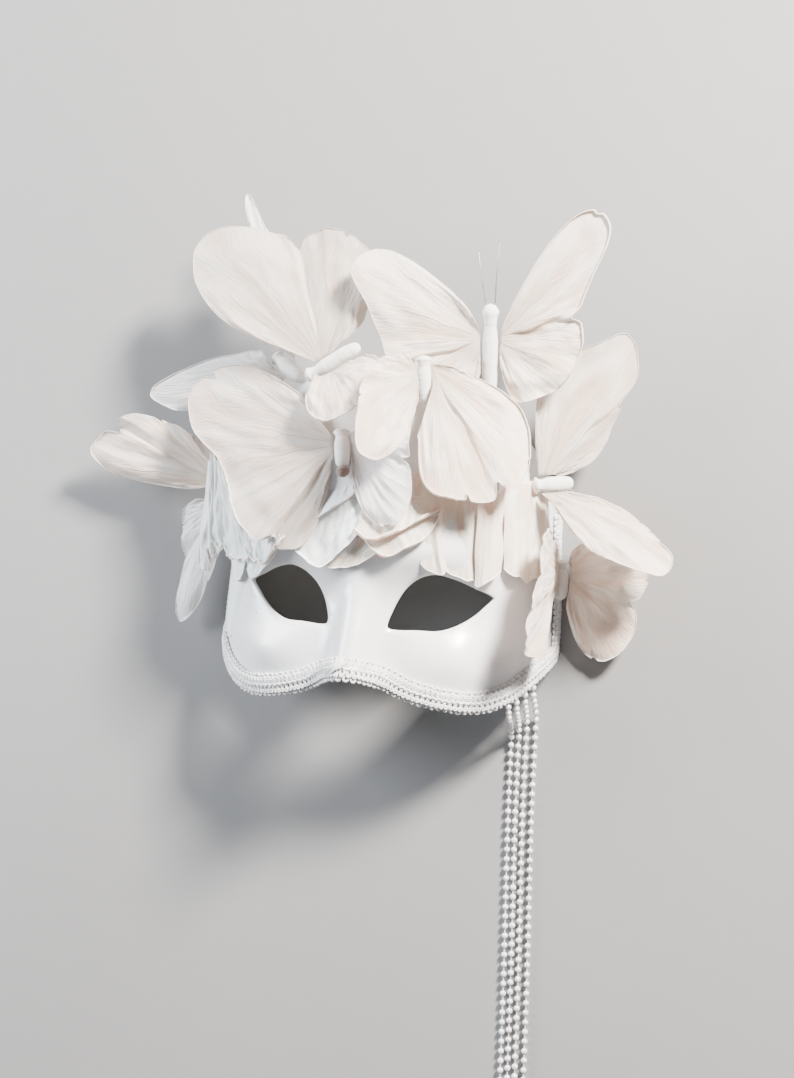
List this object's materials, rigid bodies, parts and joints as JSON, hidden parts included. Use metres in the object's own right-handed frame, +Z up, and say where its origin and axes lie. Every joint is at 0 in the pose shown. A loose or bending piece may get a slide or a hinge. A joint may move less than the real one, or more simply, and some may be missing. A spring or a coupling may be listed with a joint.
{
  "type": "carnival mask",
  "caption": "White half mask with almond eye holes, feather butterflies and petals over the brow and crown, a silver-white braid along the edge and hanging pearl strands.",
  "frame": {"origin": "bottom centre of the mask's box without its bead strands, on the floor that its side edges rest on", "axes": "+Z up and out of the face, +Y towards the crown, +X to the wearer's left"},
  "size_m": [0.3278, 0.4712, 0.1057],
  "materials": {
    "shell": "papier-mache under white gloss lacquer",
    "braid": "silver-white woven braid with small loops",
    "pulp": "matt white pressed pulp",
    "feather": "thin ivory feather with fine veins",
    "petal": "thin white crumpled petal paper",
    "pearl": "pearl gloss"
  },
  "bodies": {
    "root": {"mask_shell": "shell", "edge_braid": "braid", "crown_right_body": "pulp", "crown_right_wing_left": "feather", "crown_right_wing_right": "feather", "crown_left_body": "pulp", "crown_left_wing_left": "feather", "crown_left_wing_right": "feather", "brow_left_body": "pulp", "brow_left_wing_left": "feather", "brow_left_wing_right": "feather", "temple_right_body": "pulp", "temple_right_wing_left": "feather", "temple_right_wing_right": "feather", "temple_left_body": "pulp", "temple_left_wing_left": "feather", "temple_left_wing_right": "feather", "cheek_right_body": "pulp", "cheek_right_wing_left": "feather", "cheek_right_wing_right": "feather", "crown_back_body": "pulp", "crown_back_wing_left": "feather", "crown_back_wing_right": "feather", "centre_body": "pulp", "centre_wing_left": "feather", "centre_wing_right": "feather", "petal_rose": "petal", "petal_centre": "petal", "petal_left": "petal", "petal_corner": "petal", "petal_temple": "petal", "petal_eye_corner": "petal", "petal_drape_inner": "petal", "petal_drape_middle": "petal", "petal_drape_outer": "petal", "bead_strand_1": "pearl", "bead_strand_2": "pearl", "bead_strand_3": "pearl", "bead_strand_4": "pearl"}
  },
  "joints": []
}
